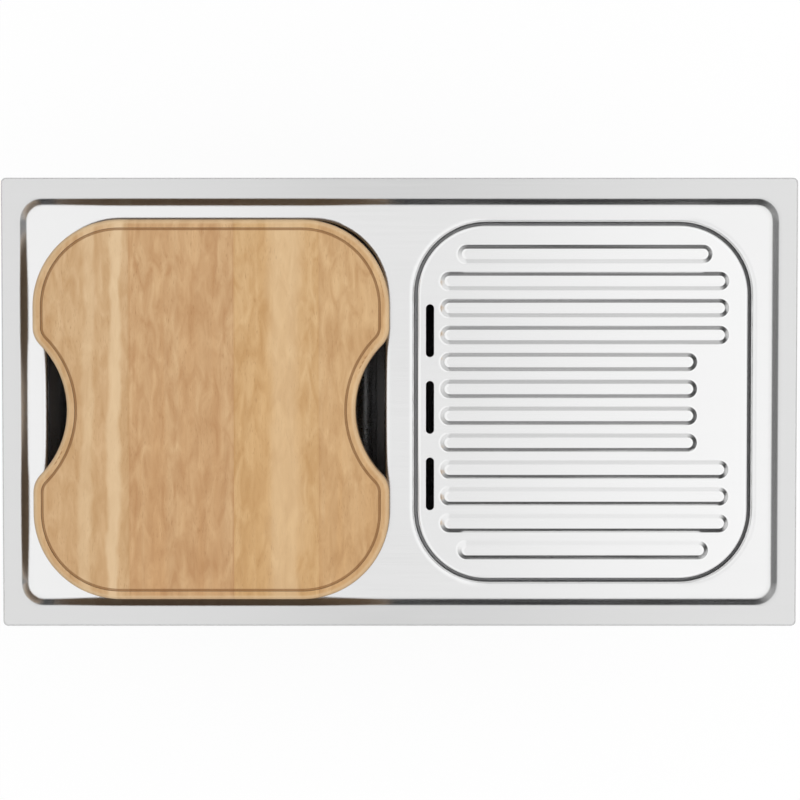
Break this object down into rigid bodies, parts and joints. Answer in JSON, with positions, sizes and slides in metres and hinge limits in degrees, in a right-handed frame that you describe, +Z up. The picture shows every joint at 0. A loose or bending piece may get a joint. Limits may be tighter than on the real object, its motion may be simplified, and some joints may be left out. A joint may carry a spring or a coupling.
{
  "type": "inset kitchen sink",
  "caption": "Inset steel double-bowl kitchen sink with a waisted hardwood chopping board, a ribbed drainer tray, basket wastes, overflows and linking waste pipes.",
  "frame": {"origin": "centre of the rim's seat, on the plane of the worktop's upper face", "axes": "+X to the right along the sink, +Y to its back edge, +Z up"},
  "size_m": [0.78, 0.44, 0.3975],
  "materials": {
    "satin_steel": "satin, pressed sheet",
    "polished_steel": "polished stainless steel",
    "zinc_plated_steel": "bright zinc plate",
    "hardwood": "sanded and oiled",
    "foam_seal": "closed-cell foam strip",
    "bitumen_pad": "matt bitumen",
    "black_rubber": "moulded rubber",
    "waste_plastic": "moulded white polypropylene",
    "hose_plastic": "ribbed white polypropylene"
  },
  "bodies": {
    "sink": {"sink_deck": "satin_steel", "left_bowl": "satin_steel", "right_bowl": "satin_steel", "clip_brackets": "zinc_plated_steel", "clip_hooks": "zinc_plated_steel", "clip_screws": "zinc_plated_steel", "drain_tee": "waste_plastic", "left_body_gasket": "black_rubber", "left_flange_gasket": "black_rubber", "left_overflow_elbow": "waste_plastic", "left_overflow_gasket": "black_rubber", "left_overflow_hose": "hose_plastic", "left_overflow_rosette": "polished_steel", "left_overflow_screw": "polished_steel", "left_sound_pads": "bitumen_pad", "left_strainer_dish": "polished_steel", "left_strainer_screw": "polished_steel", "left_tee_nut": "waste_plastic", "left_tee_seal": "black_rubber", "left_waste_bend": "waste_plastic", "left_waste_body": "waste_plastic", "left_waste_nut": "waste_plastic", "left_waste_seal": "black_rubber", "right_body_gasket": "black_rubber", "right_flange_gasket": "black_rubber", "right_overflow_elbow": "waste_plastic", "right_overflow_gasket": "black_rubber", "right_overflow_hose": "hose_plastic", "right_overflow_rosette": "polished_steel", "right_overflow_screw": "polished_steel", "right_sound_pads": "bitumen_pad", "right_strainer_dish": "polished_steel", "right_strainer_screw": "polished_steel", "right_tee_nut": "waste_plastic", "right_tee_seal": "black_rubber", "right_waste_bend": "waste_plastic", "right_waste_body": "waste_plastic", "right_waste_nut": "waste_plastic", "right_waste_seal": "black_rubber", "rim_seal": "foam_seal"},
    "board": {"board_left_stave": "hardwood", "board_second_stave": "hardwood", "board_third_stave": "hardwood", "board_right_stave": "hardwood"},
    "tray": {"drainer_tray": "satin_steel"},
    "left_strainer": {"left_basket": "polished_steel", "left_basket_post": "polished_steel", "left_basket_seal": "black_rubber"},
    "right_strainer": {"right_basket": "polished_steel", "right_basket_post": "polished_steel", "right_basket_seal": "black_rubber"}
  },
  "joints": [
    {"name": "board_lift", "type": "slide", "parent": "sink", "child": "board", "axis": [0, 0, 1], "range_m": [0, 0.25]},
    {"name": "tray_lift", "type": "slide", "parent": "sink", "child": "tray", "axis": [0, 0, 1], "range_m": [0, 0.25]},
    {"name": "left_basket_lift", "type": "slide", "parent": "sink", "child": "left_strainer", "axis": [0, 0, 1], "range_m": [0, 0.12]},
    {"name": "right_basket_lift", "type": "slide", "parent": "sink", "child": "right_strainer", "axis": [0, 0, 1], "range_m": [0, 0.12]}
  ]
}
